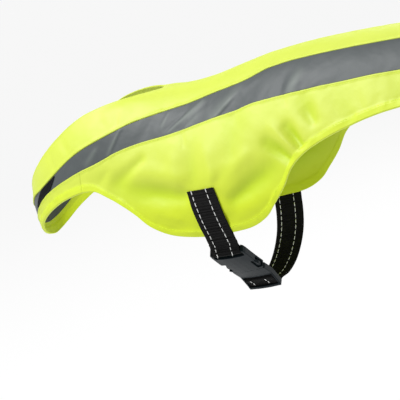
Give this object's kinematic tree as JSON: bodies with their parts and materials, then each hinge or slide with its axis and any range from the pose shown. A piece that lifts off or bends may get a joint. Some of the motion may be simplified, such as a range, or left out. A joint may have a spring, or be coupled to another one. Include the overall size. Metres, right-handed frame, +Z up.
{
  "type": "dog safety vest",
  "caption": "Hollow high-visibility dog vest of sewn panels, open at neck and hem, with a dark reflective stripe each side, a bare chest tab and a webbing belly belt with a side-release buckle.",
  "frame": {"origin": "inside face of the back panel on the middle plane at the withers, where the vest lies on its wearer", "axes": "+X from the withers back along the spine towards the rear hem, +Y to the wearer's right, +Z up out of the back"},
  "size_m": [0.5373, 0.1579, 0.2323],
  "materials": {
    "yellow_cloth": "satin fluorescent woven polyester",
    "reflective_stripe": "dark grey reflective tape, slight sheen",
    "black_webbing": "matt ribbed webbing",
    "black_tab": "matt woven tab",
    "black_plastic": "satin moulded plastic"
  },
  "bodies": {
    "root": {"back_panel": "yellow_cloth", "chest_panel": "yellow_cloth", "side_panel_left": "yellow_cloth", "side_panel_right": "yellow_cloth", "stripe_left": "reflective_stripe", "stripe_right": "reflective_stripe", "label_tab": "black_tab", "belt_left": "black_webbing", "belt_right": "black_webbing", "buckle_socket": "black_plastic", "buckle_plug": "black_plastic"}
  },
  "joints": []
}
